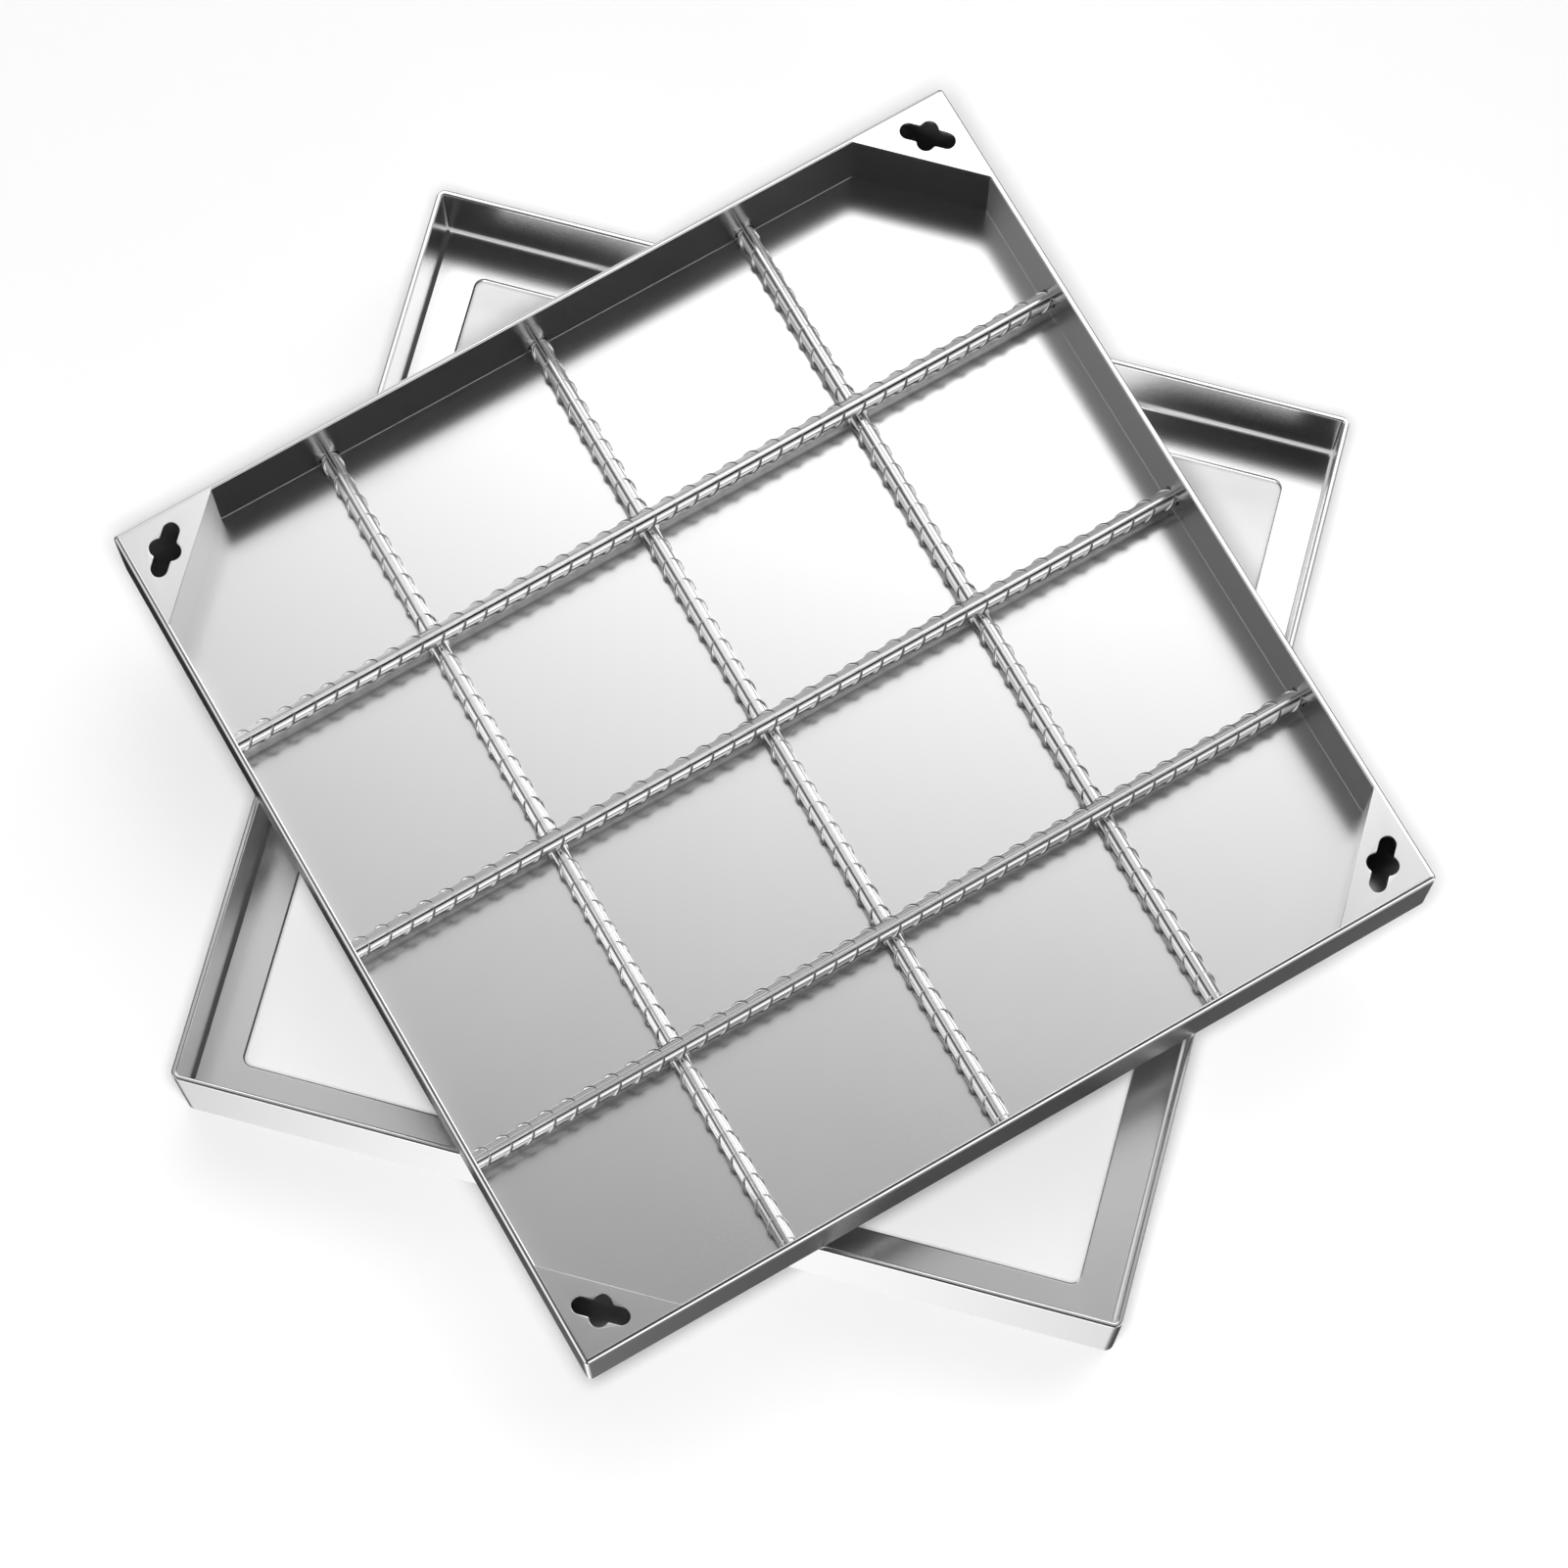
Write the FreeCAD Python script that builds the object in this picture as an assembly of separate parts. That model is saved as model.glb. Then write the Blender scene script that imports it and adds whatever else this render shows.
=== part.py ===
import FreeCAD, Part
import math
import os

# Recessed paving cover: a folded sheet tray with a lattice of ribbed bars and four key plates,
# lying turned on the rim of the square frame that it drops into when it is in use.
# Lengths are in millimetres. X and Y run along the tray's sides, and Z is up from the ground.

# Tray, folded from one sheet
tray_side = 600.0
tray_height = 65.0
tray_sheet = 4.0
tray_bend = 0.6            # inside radius of every fold and upright corner
tray_edge_round = 3.0      # dressed outside of every fold, corner and rim

# Key plates in the tray's corners, and the upright web that carries each
plate_leg = 72.0           # along each side, from the tray's outer corner to the plate's long edge
plate_sheet = 3.0
web_sheet = 3.0

# Key slot in each plate: a long arm along the plate's long edge, crossed by a short, wider arm
slot_from_corner = 34.6    # from the tray's outer corner to the slot's centre, on the diagonal
slot_length = 36.5
slot_width = 10.7
slot_cross_length = 20.5
slot_cross_width = 12.0
slot_blend = 1.5           # radius where the arms meet

# Ribbed bars: the lower set lies on the tray's floor, and the upper set crosses on top of it
bar_core = 11.5
bar_lug_width = 2.0        # seam rib along the top and the bottom of each bar
bar_lug_height = 0.8
bar_pitch = 152.8
lower_set_shift = -0.6     # how far each set is welded off the tray's middle
upper_set_shift = 1.7

# Frame: an upright wall bent into a square, with a flat ledge inside that the tray sits on
side_gap = 0.5             # between the seated tray and the wall, on each side
frame_height = 95.0
frame_sheet = 3.5
frame_bend = 2.0           # inside radius of the wall's upright corners
frame_rim_round = 1.2
ledge_width = 27.5
ledge_sheet = 3.0
ledge_opening_corner = 6.0
ledge_bead = 2.0           # leg of the weld along the ledge's root

# How the two lie in the photograph: the tray is turned on the frame's rim, a little off centre
frame_turn = 45.0
tray_shift_x = 2.5
tray_shift_y = 5.4

UP = FreeCAD.Vector(0, 0, 1)
ORIGIN = FreeCAD.Vector(0, 0, 0)
QUARTER_TURN = 90.0
DIAGONAL = math.sqrt(0.5)  # what a unit length on the diagonal measures along X or Y
CUT_MARGIN = 1.0           # how far a cutter runs past the faces that it cuts
TOUCH = 1e-6

tray_inside = tray_side - 2 * tray_sheet
frame_inside = tray_side + 2 * side_gap
frame_side = frame_inside + 2 * frame_sheet
ledge_top = frame_height - tray_height      # the seated tray's rim is level with the frame's
bar_reach = bar_core / 2 + bar_lug_height   # from a bar's axis to the outside of its seam ribs


def square_wire(side, radius, z):
    """Outline of a square with rounded corners, centred on the Z axis."""
    half = side / 2
    flat = half - radius
    mid = flat + radius * DIAGONAL
    edges = []
    for quarter in range(4):
        line = Part.makeLine(FreeCAD.Vector(half, -flat, z), FreeCAD.Vector(half, flat, z))
        arc = Part.Arc(FreeCAD.Vector(half, flat, z), FreeCAD.Vector(mid, mid, z),
                       FreeCAD.Vector(flat, half, z)).toShape()
        for edge in (line, arc):
            edge.rotate(ORIGIN, UP, QUARTER_TURN * quarter)
            edges.append(edge)
    return Part.Wire(edges)


def square_prism(side, radius, low, high):
    """Upright block on a rounded square, from one height to another."""
    return Part.Face(square_wire(side, radius, low)).extrude(UP * (high - low))


def edges_at_height(shape, z):
    """Edges that lie flat at one height."""
    return [edge for edge in shape.Edges
            if abs(edge.BoundBox.ZMin - z) < TOUCH and abs(edge.BoundBox.ZMax - z) < TOUCH]


def upright_edges(shape):
    """Straight edges that run parallel to Z."""
    return [edge for edge in shape.Edges
            if edge.BoundBox.XLength < TOUCH and edge.BoundBox.YLength < TOUCH]


def rounded_block(side, height, radius):
    """Square block on z = 0 with all its edges rounded alike."""
    block = Part.makeBox(side, side, height, FreeCAD.Vector(-side / 2, -side / 2, 0))
    return block.makeFillet(radius, block.Edges)


def tray_hollow():
    """Space inside the tray's walls and floor, open past the rim."""
    hollow = rounded_block(tray_inside, tray_height, tray_bend)
    hollow.translate(UP * tray_sheet)
    return hollow


def cover_tray():
    """Pan of one sheet: floor and four walls, dressed round all over its outside."""
    return rounded_block(tray_side, tray_height, tray_edge_round).cut(tray_hollow())


def slot_arm(length, width, height):
    """Block with round ends, centred on Z, its length along X."""
    run = length / 2 - width / 2
    half = width / 2
    corners = [FreeCAD.Vector(-run, -half, 0), FreeCAD.Vector(run, -half, 0),
               FreeCAD.Vector(run, half, 0), FreeCAD.Vector(-run, half, 0)]
    outline = Part.Wire([
        Part.makeLine(corners[0], corners[1]),
        Part.Arc(corners[1], FreeCAD.Vector(length / 2, 0, 0), corners[2]).toShape(),
        Part.makeLine(corners[2], corners[3]),
        Part.Arc(corners[3], FreeCAD.Vector(-length / 2, 0, 0), corners[0]).toShape()])
    return Part.Face(outline).extrude(UP * height)


def key_slot(height):
    """Cross-shaped cutter, its long arm along X, with the inner corners blended."""
    long_arm = slot_arm(slot_length, slot_width, height)
    cross_arm = slot_arm(slot_cross_length, slot_cross_width, height)
    cross_arm.rotate(ORIGIN, UP, QUARTER_TURN)
    cross = long_arm.fuse(cross_arm).removeSplitter()
    straight_run = slot_length / 2 - slot_width / 2
    inner_corners = [edge for edge in upright_edges(cross)
                     if abs(abs(edge.BoundBox.YMin) - slot_width / 2) < TOUCH
                     and abs(edge.BoundBox.XMin) < straight_run - TOUCH]
    return cross.makeFillet(slot_blend, inner_corners)


def corner_triangle(thickness):
    """Plate against both walls in the back right corner, its long edge across the corner."""
    near = tray_inside / 2
    cut = tray_side - plate_leg - near
    corners = [FreeCAD.Vector(near, near, 0), FreeCAD.Vector(cut, near, 0), FreeCAD.Vector(near, cut, 0)]
    return Part.Face(Part.makePolygon(corners + corners[:1])).extrude(UP * thickness)


def corner_plate():
    """Flat key plate, level with the rim, with its cross-shaped slot."""
    plate = corner_triangle(plate_sheet)
    slot = key_slot(plate_sheet + 2 * CUT_MARGIN)
    slot.rotate(ORIGIN, UP, -QUARTER_TURN / 2)
    centre = tray_side / 2 - slot_from_corner * DIAGONAL
    slot.translate(FreeCAD.Vector(centre, centre, -CUT_MARGIN))
    plate = plate.cut(slot)
    plate.translate(UP * (tray_height - plate_sheet))
    return plate.common(tray_hollow())


def corner_web():
    """Upright sheet under a plate's long edge, coped to the tray's floor and walls."""
    outer = corner_triangle(tray_height - plate_sheet)
    behind = corner_triangle(tray_height - plate_sheet)
    behind.translate(FreeCAD.Vector(web_sheet, web_sheet, 0) * DIAGONAL)
    return outer.cut(behind).common(tray_hollow())


def ribbed_bar():
    """One bar along X with its axis on the origin: round core and two seam ribs."""
    start = FreeCAD.Vector(-tray_inside / 2, 0, 0)
    core = Part.makeCylinder(bar_core / 2, tray_inside, start, FreeCAD.Vector(1, 0, 0))
    seam_start = start - FreeCAD.Vector(0, bar_lug_width / 2, bar_reach)
    seams = Part.makeBox(tray_inside, bar_lug_width, 2 * bar_reach, seam_start)
    return core.fuse(seams).removeSplitter()


def lower_bar(position):
    """Bar along Y on the tray's floor, its ends coped to the fold at the walls."""
    bar = ribbed_bar()
    bar.rotate(ORIGIN, UP, QUARTER_TURN)
    bar.translate(FreeCAD.Vector(lower_set_shift + position * bar_pitch, 0, tray_sheet + bar_reach))
    return bar.common(tray_hollow())


def upper_bar(position):
    """Bar along X that crosses on top of the lower set."""
    bar = ribbed_bar()
    bar.translate(FreeCAD.Vector(0, upper_set_shift + position * bar_pitch, tray_sheet + 3 * bar_reach))
    return bar.common(tray_hollow())


def frame_wall():
    """Upright wall of the frame, bent into a square, with a dressed rim."""
    outside = square_prism(frame_side, frame_bend + frame_sheet, 0, frame_height)
    wall = outside.cut(square_prism(frame_inside, frame_bend, 0, frame_height))
    return wall.makeFillet(frame_rim_round, edges_at_height(wall, frame_height))


def support_ledge():
    """Flat ring welded inside the wall, with a rounded opening and a bead along its root."""
    bead_top = ledge_top + ledge_bead
    blank = square_prism(frame_inside, frame_bend, ledge_top - ledge_sheet, bead_top)
    above = Part.makeLoft([square_wire(frame_inside - 2 * ledge_bead, frame_bend, ledge_top),
                           square_wire(frame_inside, frame_bend, bead_top)], True, True)
    opening_side = frame_inside - 2 * ledge_width
    opening = square_prism(opening_side, ledge_opening_corner, 0, frame_height)
    return blank.cut(above).cut(opening)


def place_on_rim(shape):
    """Moves a piece of the tray from the tray's own floor to where the tray lies on the frame."""
    shape.translate(FreeCAD.Vector(tray_shift_x, tray_shift_y, frame_height))
    return shape


def turn_frame(shape):
    """Turns a piece of the frame to lie cornerwise under the tray."""
    shape.rotate(ORIGIN, UP, frame_turn)
    return shape


def write_node(name, shape):
    """Writes one piece, after testing that it is a single sound solid."""
    if len(shape.Solids) != 1 or not shape.isValid():
        raise ValueError(name + " isn't one sound solid")
    shape.Solids[0].exportStep("parts/" + name + ".step")


def main():
    os.makedirs("parts", exist_ok=True)
    write_node("frame_wall", turn_frame(frame_wall()))
    write_node("support_ledge", turn_frame(support_ledge()))
    write_node("cover_tray", place_on_rim(cover_tray()))

    for quarter, corner in enumerate(("back_right", "back_left", "front_left", "front_right")):
        for name, piece in (("corner_plate_", corner_plate()), ("corner_web_", corner_web())):
            piece.rotate(ORIGIN, UP, QUARTER_TURN * quarter)
            write_node(name + corner, place_on_rim(piece))

    for position, side in ((-1, "left"), (0, "middle"), (1, "right")):
        write_node("lower_bar_" + side, place_on_rim(lower_bar(position)))
    for position, side in ((-1, "front"), (0, "middle"), (1, "back")):
        write_node("upper_bar_" + side, place_on_rim(upper_bar(position)))


main()
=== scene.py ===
"""Looks of a recessed paving cover: a folded tray with ribbed bars, lying turned on its frame."""

import math

import bmesh
import bpy
from bpy.props import FloatProperty, FloatVectorProperty, IntProperty, PointerProperty
from mathutils import Matrix, Vector


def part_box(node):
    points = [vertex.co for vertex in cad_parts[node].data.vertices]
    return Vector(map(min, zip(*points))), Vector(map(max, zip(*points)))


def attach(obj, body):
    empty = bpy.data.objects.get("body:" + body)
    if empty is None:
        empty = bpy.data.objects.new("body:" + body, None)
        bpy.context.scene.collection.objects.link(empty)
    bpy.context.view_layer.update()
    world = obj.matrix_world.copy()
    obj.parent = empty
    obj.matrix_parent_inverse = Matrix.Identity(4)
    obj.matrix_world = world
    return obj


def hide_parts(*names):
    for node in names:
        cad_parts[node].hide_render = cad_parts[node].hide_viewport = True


bl_info = {
    "name": "Recessed paving cover",
    "version": (1, 0, 0),
    "blender": (4, 5, 0),
    "location": "3D View > Sidebar > Paving cover",
    "description": "Dresses a recessed paving cover and its frame in satin stainless steel",
    "category": "Object",
}

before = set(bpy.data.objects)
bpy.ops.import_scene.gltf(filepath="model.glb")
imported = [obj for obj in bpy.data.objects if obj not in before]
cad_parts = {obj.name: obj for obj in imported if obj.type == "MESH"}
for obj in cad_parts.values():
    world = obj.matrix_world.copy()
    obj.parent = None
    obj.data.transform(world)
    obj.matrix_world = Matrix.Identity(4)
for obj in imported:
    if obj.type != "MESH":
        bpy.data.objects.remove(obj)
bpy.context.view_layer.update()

BODY = "root"
SHEET_SLOT = "satin_sheet"
BAR_SLOT = "ribbed_bar"
CORNERS = ("back_right", "back_left", "front_left", "front_right")
LOWER_BARS = ("left", "middle", "right")
UPPER_BARS = ("front", "middle", "back")
QUARTER = math.pi / 2
DIAGONAL = math.sqrt(0.5)  # what a unit length on the diagonal measures along X or Y
ONE_POINT = 1e-7           # points nearer than this are one
NOISE_LOW, NOISE_HIGH = 0.3, 0.7    # a noise texture mostly lies between these
WAVE_TURN = 20.0           # how far Blender's wave texture turns over a unit length, in radians
MATHS = "ShaderNodeMath"   # the node that does one sum, in any kind of tree

# Places, from the solids
TRAY_LOW, TRAY_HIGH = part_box("cover_tray")
TRAY_CENTRE = (TRAY_LOW + TRAY_HIGH) / 2
TRAY_SIDE = TRAY_HIGH.x - TRAY_LOW.x
PLATE_LOW, PLATE_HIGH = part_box("corner_plate_back_right")
WALL_LOW, WALL_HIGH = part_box("frame_wall")
LEDGE_LOW, LEDGE_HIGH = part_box("support_ledge")

# Soft panels of the studio: azimuth from +X, tilt from overhead and spread, in degrees, and radiance
STUDIO_PANELS = {
    "high back right": (49, 30, 8.8, 2.61),
    "high right": (3, 30, 7.7, 1.38),
    "high back": (79, 38, 15.8, 1.00),
    "high front": (277, 46, 5.7, 0.51),
    "low right": (13, 72, 16.3, 2.52),
    "front": (278, 60, 9.0, 0.60),
    "low front": (274, 77, 13.0, 1.60),
    "level left": (181, 84, 19.0, 1.25),
    "left": (164, 58, 9.0, 0.70),
    "level front right": (309, 85, 12.6, 1.60),
    "sunken back": (92, 103, 17.1, 1.41),
    "sunken front right": (313, 129, 13.5, 1.94),
    "sunken front left": (223, 140, 10.7, 3.99),
    "underneath front left": (203, 170, 5.9, 1.11),
}


def linear(hex_colour):
    """Linear red, green and blue of an sRGB colour such as 0xC8C8C6."""
    channels = [(hex_colour >> shift & 0xFF) / 255 for shift in (16, 8, 0)]
    return [c / 12.92 if c <= 0.04045 else ((c + 0.055) / 1.055) ** 2.4 for c in channels]


def size(name, description, default, **limits):
    """A length in metres that a user may change."""
    return FloatProperty(name=name, description=description, default=default, precision=5,
                         unit="LENGTH", subtype="DISTANCE", **limits)


def colour(name, description, hex_colour):
    """A colour that a user may change."""
    return FloatVectorProperty(name=name, description=description, default=linear(hex_colour),
                               subtype="COLOR", size=3, min=0.0, max=1.0)


class PAVINGCOVER_PG_sheet(bpy.types.PropertyGroup):
    """Sheet metal of the tray, its key plates and the frame."""
    tray_sheet: size("Tray sheet", "Thickness of the tray's floor and walls", 0.004)
    tray_bend: size("Tray bend", "Inside radius of the tray's folds", 0.00012)
    tray_edge: size("Tray edge", "Rounding of the tray's outer edges and corners", 0.003)
    tray_lip: size("Tray lip", "Rounding of the rim's inner edge", 0.0009)
    rim_round: size("Rim rounding", "Dressed edges of the frame's rim", 0.0012)
    edge_break: size("Edge break", "Rounding of cut edges", 0.0003)
    frame_sheet: size("Frame sheet", "Thickness of the frame's wall", 0.0035)
    frame_bend: size("Frame bend", "Inside radius of the frame's corners", 0.002)
    ledge_width: size("Ledge width", "From the frame's wall to the ledge's opening", 0.0275)
    ledge_sheet: size("Ledge sheet", "Thickness of the ledge", 0.003)
    ledge_corner: size("Ledge corner", "Radius of the opening's corners", 0.006)
    ledge_edge: size("Ledge edge", "Rounding of the opening's upper edge", 0.0009)
    bend_steps: IntProperty(name="Bend steps", description="Facets in each rounded quarter",
                            default=10, min=2)


class PAVINGCOVER_PG_key_plate(bpy.types.PropertyGroup):
    """Triangular plate in a tray corner, with its cross-shaped slot."""
    from_corner: size("From corner", "From the tray's corner to the slot's centre", 0.0346)
    slot_length: size("Slot length", "Long arm of the slot", 0.0365)
    slot_width: size("Slot width", "Width of the long arm", 0.0107)
    cross_length: size("Cross length", "Short arm of the slot", 0.0205)
    cross_width: size("Cross width", "Width of the short arm", 0.012)
    blend: size("Blend", "Radius where the slot's arms meet", 0.0015)


class PAVINGCOVER_PG_bar(bpy.types.PropertyGroup):
    """Ribbed bar: a round core, two seam ribs and crescent ribs in a herringbone."""
    core: size("Core", "Diameter of the round core", 0.0115)
    seam_width: size("Seam width", "Width of the seam rib", 0.002)
    seam_flank: size("Seam flank", "How far the seam rib's flanks run out", 0.0003)
    rib_pitch: size("Rib pitch", "From one crescent rib to the next", 0.0153)
    rib_height: size("Rib height", "Height of a crescent rib at its middle", 0.0012)
    rib_width: size("Rib width", "Width of a crescent rib at its foot", 0.0022)
    rib_fall: size("Rib fall", "How far a rib falls back by the time it is level with the axis", 0.0066)
    rib_gap: FloatProperty(name="Rib gap", description="Bare stretch across each seam",
                           default=math.radians(36), subtype="ANGLE", unit="ROTATION")
    lower_phase: size("Lower phase", "Place of the lower bars' ribs along the bar", 0.0101)
    upper_phase: size("Upper phase", "Place of the upper bars' ribs along the bar", 0.0083)
    core_steps: IntProperty(name="Core steps", description="Facets round half of the core", default=36, min=8)


class PAVINGCOVER_PG_finish(bpy.types.PropertyGroup):
    """Colours and polish of the steel, with its painted shades and the ledge's painted light."""
    sheet: colour("Sheet", "Colour of the satin sheet", 0xECECEC)
    bar: colour("Bar", "Colour of the rolled bar", 0xE2E2E2)
    # Painted shade: the bar's underside is drawn darker than its top
    bar_below: colour("Bar below", "Colour of the rolled bar's underside", 0xA4A4A4)
    # Painted shade that draws the crescent ribs' outlines, darker on the upper bars than on the lower ones
    lower_rib_lee: colour("Lower rib lee", "Colour of the scale on the lower bars' ribs", 0xB0B0B0)
    upper_rib_lee: colour("Upper rib lee", "Colour of the scale on the upper bars' ribs", 0x5C5C5C)
    # Painted light: the ledge's sheet is the same satin steel, drawn lighter than the rest so that it shows
    # brighter
    ledge: colour("Ledge", "Colour of the ledge's sheet", 0xFCFCFC)
    bead: colour("Bead", "Colour of the blasted weld beads", 0xE0E0E0)
    # Painted shade: the dark lines of the left wall's bead and of the opening's cut edges
    tint: colour("Tint", "Colour of the skin that the torch leaves", 0x484848)
    sheet_roughness: FloatProperty(name="Sheet roughness", description="Roughness of the satin sheet",
                                   default=0.20, min=0.0, max=1.0, subtype="FACTOR")
    bar_roughness: FloatProperty(name="Bar roughness", description="Roughness of the rolled bar",
                                 default=0.16, min=0.0, max=1.0, subtype="FACTOR")


class PAVINGCOVER_PG_stage(bpy.types.PropertyGroup):
    """Camera, floor and studio light."""
    camera_place: FloatVectorProperty(name="Camera place", description="Where the camera stands",
                                      default=(-0.4136, -0.7234, 3.1915), subtype="XYZ", unit="LENGTH")
    camera_ahead: FloatVectorProperty(name="Camera ahead", description="Where the camera looks",
                                      default=(0.12739, 0.21737, -0.96774), subtype="DIRECTION")
    camera_roll: FloatProperty(name="Camera roll", description="Turn of the camera about its own axis",
                               default=math.radians(0.352), subtype="ANGLE", unit="ROTATION")
    camera_lens: FloatProperty(name="Lens", description="Focal length on a 36 mm sensor, in millimetres",
                               default=116.82, min=1.0)
    floor_side: size("Floor side", "Side of the square floor", 12.0)
    floor: colour("Floor", "Colour of the pale floor", 0xF4F4F4)
    studio_light: FloatProperty(name="Studio light", description="Strength of all the soft panels",
                                default=1.0, min=0.0)
    studio_base: FloatProperty(name="Studio base", description="Radiance of the studio between the panels",
                               default=0.002, min=0.0)
    floor_lamp: FloatProperty(name="Floor lamp", description="Power of the lamp over the floor, in watts",
                              default=67.0, min=0.0)
    lamp_place: FloatVectorProperty(name="Lamp place", description="Where the lamp over the floor hangs",
                                    default=(-0.4, -0.65, 3.0), subtype="XYZ", unit="LENGTH")
    lamp_width: size("Lamp width", "Diameter of the lamp over the floor", 0.5)


class PAVINGCOVER_PG_settings(bpy.types.PropertyGroup):
    """All that a user may change."""
    sheet: PointerProperty(type=PAVINGCOVER_PG_sheet)
    key_plate: PointerProperty(type=PAVINGCOVER_PG_key_plate)
    bar: PointerProperty(type=PAVINGCOVER_PG_bar)
    finish: PointerProperty(type=PAVINGCOVER_PG_finish)
    stage: PointerProperty(type=PAVINGCOVER_PG_stage)


def add_node(tree, kind, inputs=(), **settings):
    """Adds a node: settings are its own properties, and inputs pair a socket with a value or a link.

    A link comes from a socket, or from the first output of a node.
    """
    node = tree.nodes.new(kind)
    for name, value in settings.items():
        setattr(node, name, value)
    for socket, value in dict(inputs).items():
        source = value.outputs[0] if isinstance(value, bpy.types.Node) else value
        if isinstance(source, bpy.types.NodeSocket):
            tree.links.new(source, node.inputs[socket])
        else:
            node.inputs[socket].default_value = source
    return node


def metal(name, base, roughness):
    """A metal's shader with its constants set, and its tree, ready for its pattern."""
    material = bpy.data.materials.new(name)
    material.use_nodes = True
    tree = material.node_tree
    shader = tree.nodes["Principled BSDF"]
    shader.inputs["Base Color"].default_value = (*base, 1.0)
    shader.inputs["Metallic"].default_value = 1.0
    shader.inputs["Roughness"].default_value = roughness
    return material, tree, shader


def satin_sheet(name, follows, shade="sheet"):
    """Cold-rolled stainless sheet with a satin grain: soft reflections, drawn a little along the grain.

    The grain is really about 0.05 mm wide. It is drawn 0.7 mm wide so that it shows at all.
    """
    grain_length = 0.09
    grain_width = 0.0007
    grain_depth = 0.00001
    grain_strength = 0.02
    grain_swing = 0.01     # of the roughness, either way
    cloud_size = 0.12
    cloud_swing = 0.012
    finish = bpy.context.scene.paving_cover.finish
    material, tree, shader = metal(name, getattr(finish, shade), finish.sheet_roughness)
    place = add_node(tree, "ShaderNodeTexCoord").outputs[follows]
    along = add_node(tree, "ShaderNodeMapping", {
        "Vector": place, "Scale": (1 / grain_length, 1 / grain_width, 1 / grain_width)})
    grain = add_node(tree, "ShaderNodeTexNoise", {
        "Vector": along, "Scale": 1.0, "Detail": 3.0, "Roughness": 0.6})
    cloud = add_node(tree, "ShaderNodeTexNoise", {"Vector": place, "Scale": 1 / cloud_size, "Detail": 2.0})
    grain_share = add_node(tree, "ShaderNodeMapRange", {
        "Value": grain, "From Min": NOISE_LOW, "From Max": NOISE_HIGH,
        "To Min": finish.sheet_roughness - grain_swing, "To Max": finish.sheet_roughness + grain_swing})
    cloud_share = add_node(tree, "ShaderNodeMapRange", {
        "Value": cloud, "From Min": NOISE_LOW, "From Max": NOISE_HIGH,
        "To Min": -cloud_swing, "To Max": cloud_swing})
    rough = add_node(tree, MATHS, {0: grain_share, 1: cloud_share}, operation="ADD")
    tree.links.new(rough.outputs[0], shader.inputs["Roughness"])
    relief = add_node(tree, "ShaderNodeBump", {
        "Height": grain, "Strength": grain_strength, "Distance": grain_depth})
    tree.links.new(relief.outputs[0], shader.inputs["Normal"])
    return material


def rolled_bar():
    """Hot-rolled and pickled stainless bar: a fine uneven skin, with painted shade that darkens its
    underside.
    """
    skin_size = 0.0012
    skin_depth = 0.00003
    skin_strength = 0.3
    smoother, rougher = 0.03, 0.05      # how far the skin's roughness swings each way
    finish = bpy.context.scene.paving_cover.finish
    material, tree, shader = metal("pickled_rolled_bar", finish.bar, finish.bar_roughness)
    place = add_node(tree, "ShaderNodeTexCoord").outputs["Object"]
    skin = add_node(tree, "ShaderNodeTexNoise", {"Vector": place, "Scale": 1 / skin_size, "Detail": 2.0})
    rough = add_node(tree, "ShaderNodeMapRange", {
        "Value": skin, "From Min": NOISE_LOW, "From Max": NOISE_HIGH,
        "To Min": finish.bar_roughness - smoother, "To Max": finish.bar_roughness + rougher})
    tree.links.new(rough.outputs[0], shader.inputs["Roughness"])
    relief = add_node(tree, "ShaderNodeBump", {
        "Height": skin, "Strength": skin_strength, "Distance": skin_depth})
    tree.links.new(relief.outputs[0], shader.inputs["Normal"])
    # Painted shade: the bar's colour darkens towards its underside
    below = add_node(tree, "ShaderNodeAttribute", attribute_name="underside").outputs["Fac"]
    top, bottom, result = 6, 7, 2       # a mix node's sockets for colours
    shade = add_node(tree, "ShaderNodeMix", {
        "Factor": below, top: (*finish.bar, 1.0), bottom: (*finish.bar_below, 1.0)}, data_type="RGBA")
    tree.links.new(shade.outputs[result], shader.inputs["Base Color"])
    return material


def dull_skin(name, base, roughness):
    """Matt, hardly glossy coat that hides the steel's mirror, for the painted shades."""
    material, tree, shader = metal(name, base, roughness)
    shader.inputs["Metallic"].default_value = 0.0
    shader.inputs["Specular IOR Level"].default_value = 0.2
    return material


def mill_scale(level):
    """Painted shade on the steep side of a rib: a matt grey that draws each rib's outline."""
    base = getattr(bpy.context.scene.paving_cover.finish, level + "_rib_lee")
    return dull_skin(level + "_mill_scale", base, roughness=0.7)


def heat_tint():
    """Painted shade: a dark matt skin along the left wall's bead and the opening's cut edges."""
    return dull_skin("heat_tinted_edge", bpy.context.scene.paving_cover.finish.tint, roughness=0.6)


def weld_bead():
    """Fillet weld, blasted clean: light and matt, with the ripples of the puddle across it."""
    ripple_pitch = 0.0088
    ripple_depth = 0.00005
    ripple_strength = 0.2
    bead = bpy.context.scene.paving_cover.finish.bead
    material, tree, shader = metal("blasted_weld_bead", bead, roughness=0.6)
    shader.inputs["Metallic"].default_value = 0.0
    place = add_node(tree, "ShaderNodeTexCoord").outputs["UV"]
    ripple = add_node(tree, "ShaderNodeTexWave", {
        "Vector": place, "Scale": math.tau / (WAVE_TURN * ripple_pitch), "Distortion": 1.5, "Detail": 1.0},
        bands_direction="X", wave_profile="SIN").outputs["Fac"]
    relief = add_node(tree, "ShaderNodeBump", {
        "Height": ripple, "Strength": ripple_strength, "Distance": ripple_depth})
    tree.links.new(relief.outputs[0], shader.inputs["Normal"])
    return material


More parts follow.
